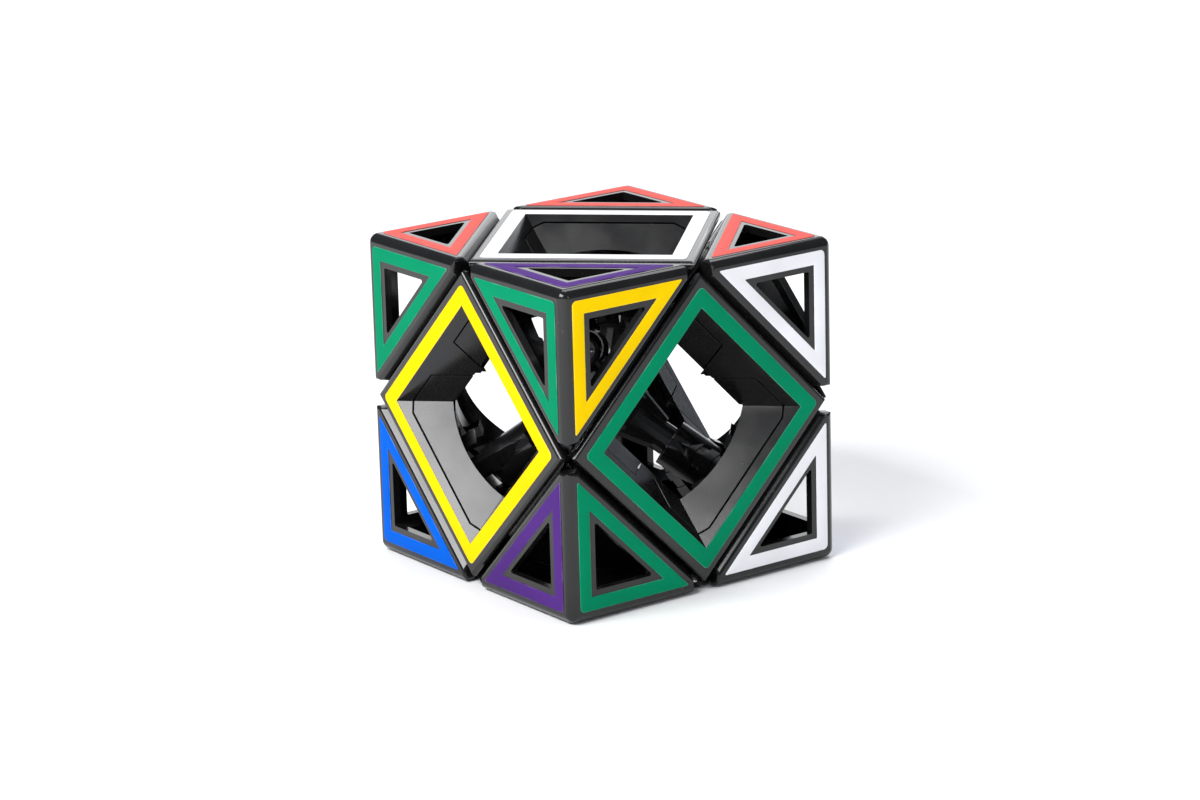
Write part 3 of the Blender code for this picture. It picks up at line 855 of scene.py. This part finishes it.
def blend(tree, factor, first, second):
    node = add(tree, "ShaderNodeMix", data_type="RGBA")
    for socket, value in zip((node.inputs[0], node.inputs[6], node.inputs[7]), (factor, first, second)):
        if isinstance(value, bpy.types.NodeSocket):
            tree.links.new(value, socket)
        else:
            socket.default_value = value
    return node.outputs[2]


def times(tree, first, second):
    return add(tree, "ShaderNodeMath", {0: first, 1: second}, operation="MULTIPLY").outputs[0]


def rough_and_bumped(tree, shader, roughness, bump_height, strength, distance):
    tree.links.new(roughness, shader.inputs["Roughness"])
    inputs = {"Height": bump_height, "Strength": strength, "Distance": distance}
    bump = add(tree, "ShaderNodeBump", inputs)
    tree.links.new(bump.outputs["Normal"], shader.inputs["Normal"])


def tinted(shade, tint):
    return tuple(shade * part for part in tint) + (1,)


def plastic(name, roughness, spread):
    """Black moulded plastic: a faint moulded skin, handling haze, fine scratches and a little dust."""
    made, tree, shader = node_tree(name)
    place = own_place(tree)
    haze = pattern(tree, place, *HAZE)
    skin = noise(tree, place, *PLASTIC_GRAIN)
    stretch = add(tree, "ShaderNodeVectorMath", {0: place, 1: SCRATCH_STRETCH}, operation="MULTIPLY")
    scratches = pattern(tree, stretch.outputs[0], *SCRATCHES)
    dusty = times(tree, pattern(tree, place, *SPECKS), pattern(tree, place, *DUST_PATCHES))
    body = blend(tree, haze, tinted(BLACK, BLACK_TINT), tinted(BLACK, HAZE_TINT))
    tree.links.new(blend(tree, dusty, body, DUST_COLOUR), shader.inputs["Base Color"])
    base = ramp(tree, haze, 0, 1, roughness - spread, roughness + spread)
    scratched = ramp(tree, scratches, 0, 1, 0, SCRATCH_ROUGHNESS)
    total = add(tree, "ShaderNodeMath", {0: base, 1: scratched}, operation="ADD").outputs[0]
    rough_and_bumped(tree, shader, total, skin, PLASTIC_BUMP, SKIN_BUMP)
    shader.inputs["IOR"].default_value = PLASTIC_IOR
    return made


def vinyl(name, colour):
    """Printed vinyl: an even colour with fine grain, paler where its cut edge is rubbed."""
    made, tree, shader = node_tree(name)
    place = own_place(tree)
    grain = noise(tree, place, *INK_GRAIN)
    cloud = noise(tree, place, *INK_CLOUD)
    deep, full = (tuple(min(1, shade * part) for part in colour) + (1,) for shade in INK_SHADES)
    printed = blend(tree, ramp(tree, cloud, *INK_CLOUD_FADE), deep, full)
    printed = blend(tree, ramp(tree, grain, *INK_GRAIN_FADE), printed, tuple(colour) + (1,))
    rim = add(tree, "ShaderNodeAttribute", attribute_name="rim").outputs["Fac"]
    rubbed = times(tree, rim, pattern(tree, place, *RUBBED))
    pale = tuple(part + (RUBBED_SHADE - part) * RUBBED_SHARE for part in colour) + (1,)
    tree.links.new(blend(tree, rubbed, printed, pale), shader.inputs["Base Color"])
    roughness = ramp(tree, cloud, *INK_CLOUD_FADE, *INK_ROUGHNESS)
    rough_and_bumped(tree, shader, roughness, grain, INK_BUMP, SKIN_BUMP)
    shader.inputs["Specular IOR Level"].default_value = INK_SPECULAR
    return made


def steel():
    """Turned steel: rings of fine tool marks would be too small to see, so streaks stand for them."""
    made, tree, shader = node_tree("bolt_steel")
    place = own_place(tree)
    streak = noise(tree, place, *STEEL_STREAK)
    tone = blend(tree, pattern(tree, place, *STEEL_STAIN), *STEEL_TONES)
    tree.links.new(tone, shader.inputs["Base Color"])
    roughness = ramp(tree, streak, *STEEL_ROUGHNESS)
    rough_and_bumped(tree, shader, roughness, streak, STEEL_BUMP, SKIN_BUMP)
    shader.inputs["Metallic"].default_value = 1.0
    return made


def paper():
    """The floor: near white, with a fine grain."""
    made, tree, shader = node_tree("paper")
    place = add(tree, "ShaderNodeTexCoord").outputs["Object"]
    grain = noise(tree, place, *FLOOR_GRAIN)
    tree.links.new(blend(tree, grain, FLOOR_SHADE, FLOOR_LIGHT), shader.inputs["Base Color"])
    roughness = ramp(tree, grain, 0, 1, *FLOOR_ROUGHNESS)
    rough_and_bumped(tree, shader, roughness, grain, FLOOR_BUMP, FLOOR_BUMP_HEIGHT)
    shader.inputs["Specular IOR Level"].default_value = FLOOR_SPECULAR
    return made


# Pieces on their bodies


def place_piece(name, mesh, finish, turn, body, node=None):
    """One object on a body, about the cube's middle. It stands for node, if one is given."""
    piece = bpy.data.objects.new(name, mesh)
    bpy.context.scene.collection.objects.link(piece)
    if not mesh.materials:
        mesh.materials.append(finish)
    piece.material_slots[0].link = "OBJECT"
    piece.material_slots[0].material = finish
    piece.matrix_world = Matrix.Translation((0, 0, HALF)) @ turn
    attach(piece, body)
    if node:
        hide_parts(node)


def place_moulding(shape, places, finish, body_prefix):
    """One moulding at each of its places, for the CAD nodes named after the function that shapes it."""
    prefix = shape.__name__
    mesh = soften(shape())
    mesh.name = prefix
    for name, turn in places.items():
        node = f"{prefix}_{name}"
        body = f"{body_prefix}_{name.removesuffix('_a').removesuffix('_b')}"
        place_piece(f"{node}_look", mesh, finish, turn, body, node)


def place_mouldings(finishes):
    """finishes are the materials by slot."""
    rail_places = {}
    for name, turn in CENTRE_PLACES.items():
        rail_places[f"{name}_a"] = turn
        rail_places[f"{name}_b"] = turn @ HALF_TURNS["z"]
    for shape, places, body_prefix, slot in (
        (axle_corner_shell, AXLE_PLACES, "axle_corner", "black_plastic"),
        (axle_corner_base, AXLE_PLACES, "axle_corner", "inner_plastic"),
        (floating_corner_shell, FLOATING_PLACES, "floating_corner", "black_plastic"),
        (floating_corner_base, FLOATING_PLACES, "floating_corner", "inner_plastic"),
        (centre_cap, CENTRE_PLACES, "centre", "black_plastic"),
        (centre_rail, rail_places, "centre", "inner_plastic"),
    ):
        place_moulding(shape, places, finishes[slot], body_prefix)


def finish_nodes(inner, metal):
    """The core, screws, washers and springs keep their CAD shape."""
    for name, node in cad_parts.items():
        if node.hide_render:
            continue
        node.data.materials.clear()
        node.data.materials.append(inner if name == "core_hub" else metal)


def corner_signs(name):
    return [1 if word in name else -1 for word in ("right", "back", "top")]


def place_sticker(name, mesh, inks, colour, turn, body):
    place_piece(f"sticker_{name}", mesh, inks[colour], turn, body)


def place_stickers(inks):
    triangle, diamond = triangle_sticker(), diamond_sticker()
    for name, colours in CORNER_COLOURS.items():
        kind = "axle_corner" if name in AXLE_PLACES else "floating_corner"
        signed = [axis * sign for axis, sign in zip((X, Y, Z), corner_signs(name))]
        for i, colour in enumerate(colours):
            turn = facing(signed[i - 2], signed[i - 1], signed[i])
            face = FACE_NAMES[tuple(signed[i])]
            place_sticker(f"{name}_{face}", triangle, inks, colour, turn, f"{kind}_{name}")
    for name, turn in CENTRE_PLACES.items():
        place_sticker(f"centre_{name}", diamond, inks, CENTRE_COLOURS[name], turn, f"centre_{name}")


# Stage


def add_floor(lowest):
    bm = bmesh.new()
    bmesh.ops.create_grid(bm, x_segments=2, y_segments=2, size=FLOOR_SIZE)
    mesh = bpy.data.meshes.new("floor")
    bm.to_mesh(mesh)
    bm.free()
    mesh.materials.append(paper())
    floor = bpy.data.objects.new("floor", mesh)
    floor.location.z = lowest - FLOOR_GAP
    bpy.context.scene.collection.objects.link(floor)


def add_softbox(name, place, target, size, power):
    light = bpy.data.lights.new(name, "AREA")
    light.shape = "RECTANGLE"
    light.size, light.size_y = size
    light.energy = power
    lamp = bpy.data.objects.new(name, light)
    bpy.context.scene.collection.objects.link(lamp)
    aim = Vector(target) - Vector(place)
    lamp.matrix_world = Matrix.Translation(place) @ aim.to_track_quat("-Z", "Y").to_matrix().to_4x4()


def add_light():
    world = bpy.data.worlds.new("studio")
    world.use_nodes = True
    sky = world.node_tree.nodes["Background"]
    sky.inputs["Color"].default_value = SKY_TINT
    sky.inputs["Strength"].default_value = SKY
    bpy.context.scene.world = world
    for softbox in SOFTBOXES:
        add_softbox(*softbox)


def add_camera():
    azimuth, elevation = math.radians(CAMERA_AZIMUTH), math.radians(CAMERA_ELEVATION)
    back = Vector(
        (
            math.sin(azimuth) * math.cos(elevation),
            -math.cos(azimuth) * math.cos(elevation),
            math.sin(elevation),
        )
    )
    level = Vector((math.cos(azimuth), math.sin(azimuth), 0))
    up = back.cross(level)
    tilt = Matrix.Rotation(math.radians(CAMERA_ROLL), 3, back)
    camera = bpy.data.cameras.new("camera")
    camera.sensor_width = CAMERA_SENSOR
    camera.lens = CAMERA_LENS
    camera.shift_x, camera.shift_y = CAMERA_SHIFT
    holder = bpy.data.objects.new("camera", camera)
    holder.matrix_world = Matrix((tilt @ level, tilt @ up, back)).transposed().to_4x4()
    holder.matrix_world.translation = back * CAMERA_DISTANCE + Vector((0, 0, HALF))
    bpy.context.scene.collection.objects.link(holder)
    bpy.context.scene.camera = holder


def main():
    black = plastic("outer_black", *OUTER_ROUGHNESS)
    inner = plastic("inner_black", *INNER_ROUGHNESS)
    place_mouldings({"black_plastic": black, "inner_plastic": inner})
    finish_nodes(inner, steel())
    place_stickers({name: vinyl(f"vinyl_{name}", colour) for name, colour in INKS.items()})
    seen_box = [list(corner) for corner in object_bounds()]
    add_floor(seen_box[0][2])
    add_light()
    add_camera()
    bpy.context.scene.view_settings.view_transform = "Standard"


main()
